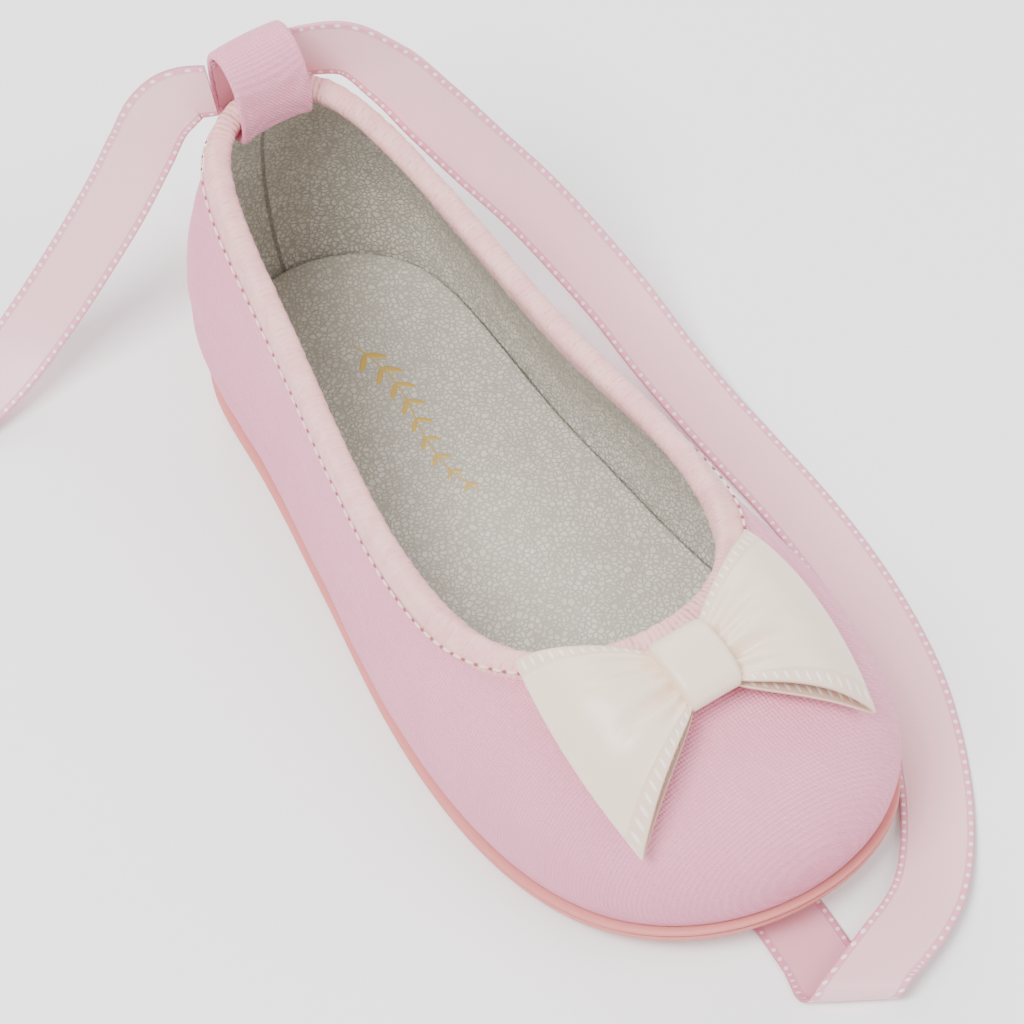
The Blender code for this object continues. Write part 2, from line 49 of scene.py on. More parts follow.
# Camera, solved from the photo: place, axes and focal length in the photo's pixels.
# The frame is a square of the photo round the one shoe, seen by turning the camera to it.
camera = {
    "place": (-0.140454, -0.262576, 0.439639),
    "forward": (0.318559, 0.495541, -0.808059),
    "right": (0.828040, -0.560405, -0.017232),
    "up": (0.461379, 0.663615, 0.588850),
    "focal": 2974.2,
    "photoMiddle": 512.0,
    "frameMiddle": (378.0, 568.0),
    "frameSide": 780.0,
    "sensor": 36.0,
}


def unit(vectors):
    vectors = np.asarray(vectors, float)
    return vectors / np.linalg.norm(vectors, axis=-1, keepdims=True)


def makeCamera():
    across = camera["frameMiddle"][0] - camera["photoMiddle"]
    down = camera["frameMiddle"][1] - camera["photoMiddle"]
    forward, right, up = (np.array(camera[k]) for k in ("forward", "right", "up"))
    aim = forward * camera["focal"] + right * across - up * down
    forward = unit(aim)
    right = unit(right - forward * (right @ forward))
    up = np.cross(right, forward)
    data = bpy.data.cameras.new("camera")
    data.sensor_width = camera["sensor"]
    data.lens = camera["sensor"] * np.linalg.norm(aim) / camera["frameSide"]
    data.clip_start = 0.01
    thing = bpy.data.objects.new("camera", data)
    bpy.context.scene.collection.objects.link(thing)
    turn = Matrix([[*axis] for axis in zip(right, up, -forward)]).to_4x4()
    thing.matrix_world = Matrix.Translation(camera["place"]) @ turn
    bpy.context.scene.camera = thing


makeCamera()
print("camera placed")


def roundCurve(rows, turns):
    rows = np.asarray(rows, float)
    count = len(rows)
    band = 4.0 * np.eye(count) + np.roll(np.eye(count), 1, 0) + np.roll(np.eye(count), -1, 0)
    slopes = np.linalg.solve(band, 3.0 * (np.roll(rows, -1, 0) - np.roll(rows, 1, 0)))
    place = (np.asarray(turns, float) % 1.0) * count
    first = np.floor(place).astype(int) % count
    second = (first + 1) % count
    t = (place - np.floor(place))[:, None]
    return (
        rows[first] * (2 * t**3 - 3 * t**2 + 1)
        + slopes[first] * (t**3 - 2 * t**2 + t)
        + rows[second] * (3 * t**2 - 2 * t**3)
        + slopes[second] * (t**3 - t**2)
    )


def openCurve(rows, count):
    rows = np.asarray(rows, float)
    padded = np.vstack([2 * rows[0] - rows[1], rows, 2 * rows[-1] - rows[-2]])
    fine = []
    for before, start, end, after in zip(padded, padded[1:], padded[2:], padded[3:]):
        t = np.linspace(0.0, 1.0, 24, endpoint=False)[:, None]
        fine.append(0.5 * (
            2 * start
            + (end - before) * t
            + (2 * before - 5 * start + 4 * end - after) * t**2
            + (3 * start - before - 3 * end + after) * t**3
        ))
    fine = np.vstack([*fine, rows[-1:]])
    run = np.concatenate([[0.0], np.cumsum(np.linalg.norm(np.diff(fine, axis=0), axis=1))])
    even = np.linspace(0.0, run[-1], count)
    return np.column_stack([np.interp(even, run, fine[:, k]) for k in range(rows.shape[1])])


def runLength(points):
    steps = np.linalg.norm(np.diff(points, axis=0), axis=-1)
    return np.concatenate([[0.0], np.cumsum(steps)])


def smoothNoise(seed, rows, columns, coarseRows, coarseColumns, wrap=True):
    # A random grid read smoothly between its values, from -1 to 1.
    values = np.random.default_rng(seed).uniform(-1, 1, (coarseRows, coarseColumns))
    if wrap:
        values[:, -1] = values[:, 0]

    def spread(data, count, axis):
        place = np.linspace(0, data.shape[axis] - 1, count)
        low = np.minimum(place.astype(int), data.shape[axis] - 2)
        t = place - low
        t = t * t * (3 - 2 * t)
        shape = [1, 1]
        shape[axis] = count
        t = t.reshape(shape)
        return np.take(data, low, axis) * (1 - t) + np.take(data, low + 1, axis) * t

    return spread(spread(values, rows, 0), columns, 1)


# Meshes from grids of points. uv holds real distances in millimetres, or shares.
def quadMesh(name, points, quads, uv, materials, picks=None, smooth=True):
    mesh = bpy.data.meshes.new(name)
    mesh.vertices.add(len(points))
    mesh.vertices.foreach_set("co", np.asarray(points, np.float32).ravel())
    mesh.loops.add(quads.size)
    mesh.loops.foreach_set("vertex_index", quads.astype(np.int32).ravel())
    mesh.polygons.add(len(quads))
    mesh.polygons.foreach_set("loop_start", np.arange(0, quads.size, 4, dtype=np.int32))
    mesh.update(calc_edges=True)
    layer = mesh.uv_layers.new(name="uv")
    layer.data.foreach_set("uv", np.asarray(uv, np.float32).ravel())
    mesh.polygons.foreach_set("use_smooth", np.full(len(quads), smooth))
    for material in materials:
        mesh.materials.append(material)
    if picks is not None:
        mesh.polygons.foreach_set("material_index", picks.astype(np.int32))
    mesh.validate()
    thing = bpy.data.objects.new(name, mesh)
    bpy.context.scene.collection.objects.link(thing)
    return thing


def gridPiece(name, points, uvGrid, materials, closed=False, flip=False, pick=None):
    # points: rows x columns x 3. A closed grid wraps across, and its uv has one column more.
    rows, columns = points.shape[:2]
    wide = columns if closed else columns - 1
    i, j = np.meshgrid(np.arange(rows - 1), np.arange(wide), indexing="ij")
    i, j = i.ravel(), j.ravel()
    k = (j + 1) % columns
    quads = np.stack([i * columns + j, i * columns + k, (i + 1) * columns + k,
                      (i + 1) * columns + j], axis=1)
    corners = np.stack([uvGrid[i, j], uvGrid[i, j + 1], uvGrid[i + 1, j + 1],
                        uvGrid[i + 1, j]], axis=1)
    if flip:
        quads = quads[:, ::-1]
        corners = corners[:, ::-1]
    picks = None if pick is None else pick(i, j)
    return quadMesh(name, points.reshape(-1, 3), quads, corners, materials, picks)


def sheetPiece(name, front, back, across, along, materials):
    # A thin sheet: its front columns, then its back columns, round as one closed section.
    columns = front.shape[1]
    points = np.concatenate([front, back[:, ::-1]], axis=1)
    section = np.concatenate([across, across[::-1], across[:1]])
    uvGrid = np.stack(np.meshgrid(section, along), axis=-1)
    return gridPiece(name, points, uvGrid, materials, closed=True,
                     pick=lambda i, j: (j >= columns).astype(int))


def tubeTurns(count):
    return np.arange(count) / count


# Shoe sizes, the same as the CAD model's, in metres
shoe = {
    "footLength": 0.1277,
    "ballWidth": 0.0502,
    "collarWidth": 0.0408,
    "heelHeight": 0.0440,
    "sideHeight": 0.0266,
    "toeSpring": 0.0049,
    "archRise": 0.0008,
    "wall": 0.0013,
    "sole": 0.0024,
    "soleMargin": 0.0010,
    "insole": 0.0021,
    "gap": 0.0003,
    "bindingStrip": 0.0007,
    "bindingDepth": 0.0030,
    "bindingCrown": 0.0009,
}
# foot across, foot along, collar across, collar along, rise, out, up, lean, drop
last = (
    (0.000, 0.506, 0.000, 0.487, 1.000, 0.200, 0.54, 0.140, 0.460),
    (-0.616, 0.443, -0.505, 0.448, 0.846, 0.197, 0.49, 0.226, 0.457),
    (-0.764, 0.294, -0.737, 0.288, 0.420, 0.144, 0.38, 0.078, 0.353),
    (-0.924, 0.085, -0.934, 0.097, 0.100, 0.160, 0.35, 0.041, 0.310),
    (-1.068, -0.165, -1.000, -0.075, 0.000, 0.185, 0.46, 0.123, 0.233),
    (-0.793, -0.399, -0.682, -0.202, 0.047, 0.205, 0.58, 0.370, 0.039),
    (0.094, -0.494, 0.076, -0.249, 0.095, 0.205, 0.66, 0.657, -0.039),
    (0.920, -0.406, 0.737, -0.205, 0.041, 0.205, 0.58, 0.370, 0.039),
    (0.932, -0.165, 1.000, -0.076, 0.000, 0.185, 0.46, 0.123, 0.233),
    (0.793, 0.085, 0.884, 0.097, 0.095, 0.160, 0.35, 0.041, 0.310),
    (0.780, 0.295, 0.742, 0.288, 0.415, 0.144, 0.38, 0.078, 0.353),
    (0.628, 0.442, 0.485, 0.448, 0.846, 0.197, 0.49, 0.226, 0.457),
)
size = shoe


def soleRise(along):
    length = size["footLength"]
    spring = size["toeSpring"] * np.clip((-0.20 * length - along) / (0.306 * length), 0, None) ** 2
    share = np.clip((along + 0.06 * length) / (0.24 * length), 0, 1)
    return spring + size["archRise"] * 0.5 * (1 - np.cos(2 * math.pi * share))


def lastRows(turns):
    rows = np.array(last)
    half = size["ballWidth"] / 2
    flat = rows[:, 0:2] * (half, size["footLength"])
    rise = size["sideHeight"] + rows[:, 4] * (size["heelHeight"] - size["sideHeight"])
    topline = np.column_stack([
        rows[:, 2] * size["collarWidth"] / 2, rows[:, 3] * size["footLength"], rise,
    ])
    handles = rows[:, 5:9] * (half, size["sideHeight"], half, size["sideHeight"])
    foot = roundCurve(flat, turns)
    step = 0.002
    heading = unit(roundCurve(flat, np.asarray(turns) + step)
                   - roundCurve(flat, np.asarray(turns) - step))
    outward = np.column_stack([heading[:, 1], -heading[:, 0], np.zeros(len(foot))])
    level = soleRise(foot[:, 1]) + size["sole"] + size["gap"]
    return (np.column_stack([foot, level]), roundCurve(topline, turns),
            roundCurve(handles, turns), outward)


def wallSurface(turns, heights):
    foot, collar, handles, outward = lastRows(turns)
    up = np.array([0.0, 0.0, 1.0])
    first = foot + outward * handles[:, 0:1] + up * handles[:, 1:2]
    second = collar + outward * handles[:, 2:3] - up * handles[:, 3:4]
    v = np.asarray(heights, float)[:, None, None]
    return ((1 - v) ** 3 * foot + 3 * (1 - v) ** 2 * v * first
            + 3 * (1 - v) * v**2 * second + v**3 * collar)


def wallFrames(turns, heights):
    turns = np.asarray(turns, float)
    heights = np.asarray(heights, float)
    step = 1e-3
    here = wallSurface(turns, heights)
    roundIt = wallSurface(turns + step, heights) - wallSurface(turns - step, heights)
    upIt = wallSurface(turns, heights + step) - wallSurface(turns, heights - step)
    return here, unit(upIt), unit(np.cross(roundIt, upIt))


def findShift():
    # The CAD model stands with the middle of its floor plan at the origin.
    low, high = (np.array(corner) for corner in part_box("upper"))
    own = wallSurface(tubeTurns(400), np.linspace(0, 1, 60)).reshape(-1, 3)
    shift = (low + high) / 2 - (own.min(axis=0) + own.max(axis=0)) / 2
    shift[2] = 0.0
    return shift


shift = findShift()
print("shift in mm", (shift * 1e3).round(3))


# Materials
def colour(code):
    values = [int(code[k:k + 2], 16) / 255 for k in (0, 2, 4)]
    return [*(v / 12.92 if v <= 0.04045 else ((v + 0.055) / 1.055) ** 2.4 for v in values), 1.0]


def addNode(tree, kind, inputs=(), **settings):
    node = tree.nodes.new("ShaderNode" + kind)
    for name, value in settings.items():
        setattr(node, name, value)
    for key, value in dict(inputs).items():
        socket = node.inputs[key]
        if isinstance(value, bpy.types.NodeSocket):
            tree.links.new(value, socket)
        else:
            socket.default_value = value
    return node


def maths(tree, operation, first, second=0.0):
    return addNode(tree, "Math", {0: first, 1: second}, operation=operation).outputs[0]


def mixed(tree, factor, first, second):
    node = addNode(tree, "Mix", data_type="RGBA")
    for key, value in ((0, factor), (6, first), (7, second)):
        if isinstance(value, bpy.types.NodeSocket):
            tree.links.new(value, node.inputs[key])
        else:
            node.inputs[key].default_value = value
    return node.outputs[2]


def ramp(tree, value, low, high):
    node = addNode(tree, "MapRange", {0: value, 1: low, 2: high}, interpolation_type="SMOOTHSTEP")
    return node.outputs[0]


def newGroup(name, inputs, outputs):
    group = bpy.data.node_groups.new(name, "ShaderNodeTree")
    for socket, kind, value in inputs:
        made = group.interface.new_socket(socket, in_out="INPUT", socket_type="NodeSocket" + kind)
        if value is not None:
            made.default_value = value
    for socket, kind in outputs:
        group.interface.new_socket(socket, in_out="OUTPUT", socket_type="NodeSocket" + kind)
    return group, group.nodes.new("NodeGroupInput"), group.nodes.new("NodeGroupOutput")


def makeWeave():
    # Threads that cross at a slant: 0.5 + 0.5 sin(turn of a) sin(turn of b), where a and b
    # are the slanted distances over the pitch, and a noise bends and breaks the threads.
    group, given, result = newGroup(
        "weave",
        (("Place", "Vector", None), ("Pitch", "Float", 0.6), ("Wander", "Float", 0.25)),
        (("Height", "Float"), ("Blotch", "Float")),
    )
    noise = addNode(group, "TexNoise", {"Vector": given.outputs["Place"], "Scale": 0.9,
                                        "Detail": 3.0})
    parts = addNode(group, "SeparateXYZ", {0: given.outputs["Place"]})
    bend = maths(group, "MULTIPLY", noise.outputs[0], given.outputs["Wander"])
    tall = maths(group, "MULTIPLY", parts.outputs[2], 0.7)
    waves = []
    for sign in ("ADD", "SUBTRACT"):
        slant = maths(group, sign, parts.outputs[0], parts.outputs[1])
        slant = maths(group, "ADD", maths(group, "ADD", slant, tall), bend)
        turns = maths(group, "DIVIDE", slant, given.outputs["Pitch"])
        waves.append(maths(group, "SINE", maths(group, "MULTIPLY", turns, 2 * math.pi)))
    cross = maths(group, "MULTIPLY", waves[0], waves[1])
    height = maths(group, "ADD", maths(group, "MULTIPLY", cross, 0.5), 0.5)
    group.links.new(height, result.inputs["Height"])
    big = addNode(group, "TexNoise", {"Vector": given.outputs["Place"], "Scale": 0.16,
                                      "Detail": 4.0})
    group.links.new(big.outputs[0], result.inputs["Blotch"])
    return group


def makeEdging():
    # A ribbon's woven edges: across runs from -1 to 1, along is in millimetres. The band
    # starts at the given share, and a row of dots runs down its middle.
    group, given, result = newGroup(
        "edging",
        (("Across", "Float", 0.0), ("Along", "Float", 0.0), ("Start", "Float", 0.80),
         ("Pitch", "Float", 1.5), ("Half Width", "Float", 4.75)),
        (("Band", "Float"), ("Dot", "Float"), ("Line", "Float")),
    )
    far = maths(group, "ABSOLUTE", given.outputs["Across"])
    band = ramp(group, maths(group, "SUBTRACT", far, given.outputs["Start"]), -0.01, 0.01)
    group.links.new(band, result.inputs["Band"])
    middle = maths(group, "MULTIPLY", maths(group, "ADD", given.outputs["Start"], 1.0), 0.5)
    side = maths(group, "MULTIPLY", maths(group, "SUBTRACT", far, middle),
                 given.outputs["Half Width"])
    turns = maths(group, "DIVIDE", given.outputs["Along"], given.outputs["Pitch"])
    near = maths(group, "MULTIPLY", maths(group, "SUBTRACT", maths(group, "FRACT", turns), 0.5),
                 given.outputs["Pitch"])
    away = maths(group, "SQRT", maths(group, "ADD", maths(group, "POWER", side, 2.0),
                                      maths(group, "POWER", near, 2.0)))
    dot = maths(group, "SUBTRACT", 1.0, ramp(group, away, 0.22, 0.36))
    group.links.new(dot, result.inputs["Dot"])
    rim = maths(group, "ABSOLUTE", maths(group, "SUBTRACT", far, given.outputs["Start"]))
    line = maths(group, "SUBTRACT", 1.0, ramp(group, rim, 0.0, 0.03))
    group.links.new(line, result.inputs["Line"])
    return group


weave = makeWeave()
edging = makeEdging()


def useGroup(tree, group, inputs):
    node = tree.nodes.new("ShaderNodeGroup")
    node.node_tree = group
    for key, value in inputs.items():
        if isinstance(value, bpy.types.NodeSocket):
            tree.links.new(value, node.inputs[key])
        else:
            node.inputs[key].default_value = value
    return node


def millimetres(tree):
    coordinates = addNode(tree, "TexCoord")
    scaled = addNode(tree, "VectorMath", {0: coordinates.outputs["Object"]}, operation="SCALE")
    scaled.inputs["Scale"].default_value = 1000.0
    return scaled.outputs[0]


def uvParts(tree):
    source = addNode(tree, "UVMap", uv_map="uv")
    parts = addNode(tree, "SeparateXYZ", {0: source.outputs[0]})
    return source.outputs[0], parts.outputs[0], parts.outputs[1]


def finish(name, base, roughness, height=None, depth=0.00005, sheen=0.0, specular=0.5,
           sheenTint=None, subsurface=0.0):
    # base and height are built by the caller from the new tree.
    material = bpy.data.materials.new(name)
    material.use_nodes = True
    tree = material.node_tree
    shader = tree.nodes["Principled BSDF"]
    value = base(tree) if callable(base) else base
    if isinstance(value, bpy.types.NodeSocket):
        tree.links.new(value, shader.inputs["Base Color"])
    else:
        shader.inputs["Base Color"].default_value = value
    shader.inputs["Roughness"].default_value = roughness
    shader.inputs["Specular IOR Level"].default_value = specular
    shader.inputs["Sheen Weight"].default_value = sheen
    shader.inputs["Subsurface Weight"].default_value = subsurface
    shader.inputs["Subsurface Scale"].default_value = 0.001
    if sheenTint:
        shader.inputs["Sheen Tint"].default_value = sheenTint
    if height:
        bump = addNode(tree, "Bump", {"Height": height(tree), "Distance": depth,
                                      "Strength": 1.0})
        tree.links.new(bump.outputs[0], shader.inputs["Normal"])
    return material


def clothColour(tree):
    cloth = useGroup(tree, weave, {"Place": millimetres(tree), "Pitch": 0.95, "Wander": 0.7})
    parts = addNode(tree, "SeparateXYZ", {0: millimetres(tree)})
    # Painted shade: the cloth is darker near the floor and lighter higher up, ramped over 3 to 24 mm
    # of height; the deep and pale tones are the weave's threads.
    low = ramp(tree, parts.outputs[2], 3.0, 24.0)
    deep = mixed(tree, low, colour("DC7C9E"), colour("E892AD"))
    pale = mixed(tree, low, colour("EA9DB6"), colour("F2B0C3"))
    blotch = ramp(tree, cloth.outputs["Blotch"], 0.35, 0.7)
    factor = maths(tree, "MULTIPLY", ramp(tree, cloth.outputs["Height"], 0.45, 0.95),
                   maths(tree, "ADD", maths(tree, "MULTIPLY", blotch, 0.5), 0.3))
    return mixed(tree, factor, deep, pale)


def clothHeight(tree):
    cloth = useGroup(tree, weave, {"Place": millimetres(tree), "Pitch": 0.95, "Wander": 0.7})
    return cloth.outputs["Height"]


def crackle(tree):
    place = millimetres(tree)
    wander = addNode(tree, "TexNoise", {"Vector": place, "Scale": 0.5, "Detail": 4.0})
    moved = addNode(tree, "VectorMath", {0: place, 1: wander.outputs[1]}, operation="ADD")
    cells = addNode(tree, "TexVoronoi", {"Vector": moved.outputs[0], "Scale": 1.3},
                    feature="DISTANCE_TO_EDGE")
    return ramp(tree, cells.outputs[0], 0.0, 0.22), wander.outputs[0]


def liningColour(tree):
    lines, blotch = crackle(tree)
    ground = mixed(tree, ramp(tree, blotch, 0.3, 0.7), colour("BBB5A8"), colour("CFCABE"))
    body = mixed(tree, lines, colour("A19B8F"), ground)
    _, around, below = uvParts(tree)
    seam = maths(tree, "SUBTRACT", 1.0, ramp(tree, maths(tree, "ABSOLUTE", around), 0.10, 0.30))
    body = mixed(tree, maths(tree, "MULTIPLY", seam, 0.7), body, colour("6F6A62"))
    edge = ramp(tree, below, -3.9, -3.3)
    return mixed(tree, edge, body, colour("DAD6CE"))


def insoleColour(tree):
    lines, blotch = crackle(tree)
    ground = mixed(tree, ramp(tree, blotch, 0.3, 0.7), colour("C1BBAE"), colour("D3CEC2"))
    return mixed(tree, lines, colour("ABA598"), ground)


def satinColour(plain, band, dot, bandMix=1.0):
    def build(tree):
        _, across, along = uvParts(tree)
        edge = useGroup(tree, edging, {"Across": across, "Along": along})
        shade = mixed(tree, maths(tree, "MULTIPLY", edge.outputs["Band"], bandMix),
                      colour(plain), colour(band))
        return mixed(tree, edge.outputs["Dot"], shade, colour(dot))
    return build


def satinHeight(tree):
    source, across, along = uvParts(tree)
    edge = useGroup(tree, edging, {"Across": across, "Along": along})
    stretched = addNode(tree, "CombineXYZ", {0: maths(tree, "MULTIPLY", across, 4.75), 1: along})
    threads = useGroup(tree, weave, {"Place": stretched.outputs[0], "Pitch": 0.55,
                                     "Wander": 0.1})
    fine = maths(tree, "MULTIPLY", threads.outputs["Height"], 0.35)
    bump = maths(tree, "ADD", fine, maths(tree, "MULTIPLY", edge.outputs["Dot"], 1.6))
    return maths(tree, "SUBTRACT", bump, edge.outputs["Line"])


def ribHeight(tree):
    _, along, _ = uvParts(tree)
    wander = addNode(tree, "TexNoise", {"Vector": millimetres(tree), "Scale": 1.2})
    place = maths(tree, "ADD", along, maths(tree, "MULTIPLY", wander.outputs[0], 0.6))
    return maths(tree, "SINE", maths(tree, "MULTIPLY", place, 2 * math.pi / 0.75))


def bindingColour(tree):
    noise = addNode(tree, "TexNoise", {"Vector": millimetres(tree), "Scale": 0.35,
                                       "Detail": 3.0})
    return mixed(tree, ramp(tree, noise.outputs[0], 0.3, 0.7), colour("EEACAE"),
                 colour("F3BEB8"))


clothPink = finish("pinkCloth", clothColour, 0.62, clothHeight, 0.00015, sheen=0.1)
linen = finish("greyLining", liningColour, 0.85, lambda tree: crackle(tree)[0], 0.00008)
sock = finish("greySock", insoleColour, 0.85, lambda tree: crackle(tree)[0], 0.00008)
trim = finish("binding", bindingColour, 0.6, ribHeight, 0.00006, sheen=0.1)
cream = finish("creamSatin", satinColour("F1DAC4", "E8CBB6", "F9ECDD"), 0.34, satinHeight,
               0.00004, sheen=0.2)
# The back of the cream satin is duller, rougher and without sheen, and its colours are darker as
# painted shade on the undersides.
creamBackShaded = finish("creamSatinBackShaded", satinColour("DDC0AA", "D2AE98", "EBD8C6"), 0.5,
                   satinHeight, 0.00004)
rose = finish("pinkSatin", satinColour("EFBCC4", "E59CAE", "FAE6E8"), 0.34, satinHeight,
              0.00004, sheen=0.2)
# The back of the pink satin is duller, rougher and without sheen, and its colours are darker as
# painted shade on the undersides.
roseBackShaded = finish("pinkSatinBackShaded", satinColour("DB99A6", "D08398", "EFC6CE"), 0.5,
                  satinHeight, 0.00004)
rubber = finish("salmonRubber", colour("D27E78"), 0.55)
thread = finish("paleThread", colour("F3D5CE"), 0.6)
holeShade = finish("needleHoleShade", colour("9A5A52"), 0.9)
# Painted shade: a dark colour standing in for the shade inside the needle holes.
gold = finish("goldPrint", colour("C9A64E"), 0.35)


# Upper: soft troughs and ridges, each placed on the outer face.
# turn and height find its middle, slant is degrees from level, then length, width and
# depth in millimetres. A negative depth is a ridge.
creases = (
    (0.430, 0.93, 80, 4.0, 1.3, 0.16),
    (0.455, 0.94, 85, 4.5, 1.2, 0.18),
    (0.480, 0.94, 90, 4.0, 1.3, 0.15),
    (0.520, 0.94, 92, 4.5, 1.2, 0.18),
    (0.545, 0.93, 96, 4.0, 1.3, 0.16),
    (0.360, 0.90, 70, 5.0, 1.8, 0.16),
    (0.640, 0.90, 110, 5.0, 1.8, 0.16),
    (0.300, 0.45, 12, 11.0, 4.5, 0.35),
    (0.330, 0.70, 20, 9.0, 4.0, 0.30),
    (0.220, 0.55, -14, 14.0, 6.0, 0.40),
    (0.140, 0.60, 30, 9.0, 4.0, 0.35),
    (0.100, 0.35, 10, 10.0, 5.0, 0.35),
    (0.050, 0.60, 60, 7.0, 4.0, 0.30),
    (0.780, 0.55, 14, 14.0, 6.0, 0.40),
    (0.860, 0.60, -30, 9.0, 4.0, 0.35),
    (0.930, 0.60, -60, 7.0, 4.0, 0.30),
    (0.500, 0.45, 2, 16.0, 7.0, -0.30),
    (0.420, 0.40, -30, 9.0, 5.0, 0.25),
    (0.590, 0.42, 32, 9.0, 5.0, 0.25),
    (0.250, 0.20, 4, 18.0, 3.0, 0.25),
    (0.700, 0.22, -4, 18.0, 3.0, 0.25),
)


def crease(points):
    move = np.zeros(points.shape[:-1])
    for turn, height, slant, length, width, depth in creases:
        middle, up, out = (grid[0, 0] for grid in wallFrames([turn], [height]))
        level = np.cross(up, out)
        angle = math.radians(slant)
        along = level * math.cos(angle) + up * math.sin(angle)
        across = np.cross(out, along)
        away = points - middle
        share = ((away @ along) / (length * 5e-4)) ** 2 + ((away @ across) / (width * 5e-4)) ** 2
        share += ((away @ out) / 0.006) ** 2
        move -= depth * 1e-3 * np.exp(-share)
    return move


def makeUpper(around=460, tall=150):
    turns = tubeTurns(around)
    heights = np.linspace(0.0, 1.0, tall)
    points, _, out = wallFrames(turns, heights)
    move = crease(points)
    move += 0.00006 * smoothNoise(3, tall, around + 1, 20, 70)[:, :-1]
    fade = np.clip((1 - heights) / 0.06, 0, 1) * np.clip(heights / 0.04, 0, 1)
    points = points + out * (move * fade[:, None])[..., None] + shift
    run = np.arange(around + 1) / around * 330.0
    uvGrid = np.stack(np.meshgrid(run, heights * 40.0), axis=-1)
    return gridPiece("upperCloth", points, uvGrid, [clothPink], closed=True)


def makeLining(around=360, tall=110):
    turns = tubeTurns(around)
    heights = np.linspace(0.0, 1.0, tall)
    points, _, out = wallFrames(turns, heights)
    inner = points - out * (shoe["wall"] + 0.00003)
    inner = inner + out * (0.00012 * smoothNoise(5, tall, around + 1, 14, 46)[:, :-1])[..., None]
    below = -np.linalg.norm(points - points[-1:], axis=-1) * 1e3
    half = around // 2
    run = runLength(np.concatenate([points[-1], points[-1, :1]])) * 1e3
    run = np.where(np.arange(around + 1) > half, run - run[-1], run)
    below = np.concatenate([below, below[:, :1]], axis=1)
    uvGrid = np.stack([np.broadcast_to(run, below.shape), below], axis=-1)
    return gridPiece("lining", inner + shift, uvGrid, [linen], closed=True, flip=True)


# Binding: a closed section carried round the topline, slightly puckered.
binding = {"around": 1500, "section": 26, "pucker": 0.00007, "pitch": 2.0e-3}


def makeBinding():
    around, count = binding["around"], binding["section"]
    turns = tubeTurns(around)
    point, up, out = (grid[0] for grid in wallFrames(turns, np.ones(1)))
    angle = np.arange(count) / count * 2 * math.pi
    whole = shoe["wall"] + 2 * (shoe["gap"] + shoe["bindingStrip"])
    high = shoe["bindingCrown"] + shoe["gap"]
    low = shoe["bindingDepth"]
    sideways = np.sign(np.cos(angle)) * np.abs(np.cos(angle)) ** 0.75 * whole / 2
    rise = np.sin(angle)
    rise = np.where(rise > 0, rise * high, np.sign(rise) * np.abs(rise) ** 0.5 * low)
    run = runLength(np.concatenate([point, point[:1]]))
    puckers = np.sin(run[:-1] / binding["pitch"] * 2 * math.pi)
    noise = smoothNoise(8, count, around + 1, 6, 160)[:, :-1].T
    swell = binding["pucker"] * (0.5 * puckers[:, None] + noise)
    reach = np.stack([np.cos(angle), np.maximum(np.sin(angle), -0.2)], axis=-1)
    across = sideways[None] - shoe["wall"] / 2 + swell * reach[None, :, 0]
    height = rise[None] + swell * reach[None, :, 1]
    points = point[:, None] + out[:, None] * across[..., None] + up[:, None] * height[..., None]
    ring = np.concatenate([points, points[:1]]) + shift
    uvGrid = np.stack(np.meshgrid(np.arange(count + 1) * 0.35, run * 1e3), axis=-1)[..., ::-1]
    return gridPiece("bindingRoll", ring, uvGrid, [trim], closed=True)


def scatter(name, template, faces, places, axes, sizes, material):
    # Copies of a small closed mesh of quads: axes holds three unit vectors for each place.
    count, corners = len(places), len(template)
    scaled = template[None] * sizes[:, None]
    points = places[:, None] + np.einsum("nck,nkd->ncd", scaled, axes)
    quads = (faces[None] + np.arange(count)[:, None, None] * corners).reshape(-1, 4)
    uv = np.zeros((len(quads) * 4, 2))
    return quadMesh(name, points.reshape(-1, 3), quads, uv, [material])


def ballTemplate(rings=7, around=10):
    lift = np.linspace(-0.5, 0.5, rings) * math.pi * 0.98
    turn = np.arange(around) / around * 2 * math.pi
    grid = np.stack([
        np.repeat(np.sin(lift)[:, None], around, 1),
        np.cos(lift)[:, None] * np.cos(turn),
        np.cos(lift)[:, None] * np.sin(turn),
    ], axis=-1)
    i, j = np.meshgrid(np.arange(rings - 1), np.arange(around), indexing="ij")
    i, j = i.ravel(), j.ravel()
    k = (j + 1) % around
    faces = np.stack([i * around + j, i * around + k, (i + 1) * around + k,
                      (i + 1) * around + j], axis=1)
    return grid.reshape(-1, 3), faces


# Stitches along the binding's lower edge, with dark discs of painted shade in the needle holes
# between them: pitch and sizes in metres.
stitch = {"pitch": 2.0e-3, "half": 0.00068, "thick": 0.00019, "holeShade": 0.00030, "drop": 0.00255}


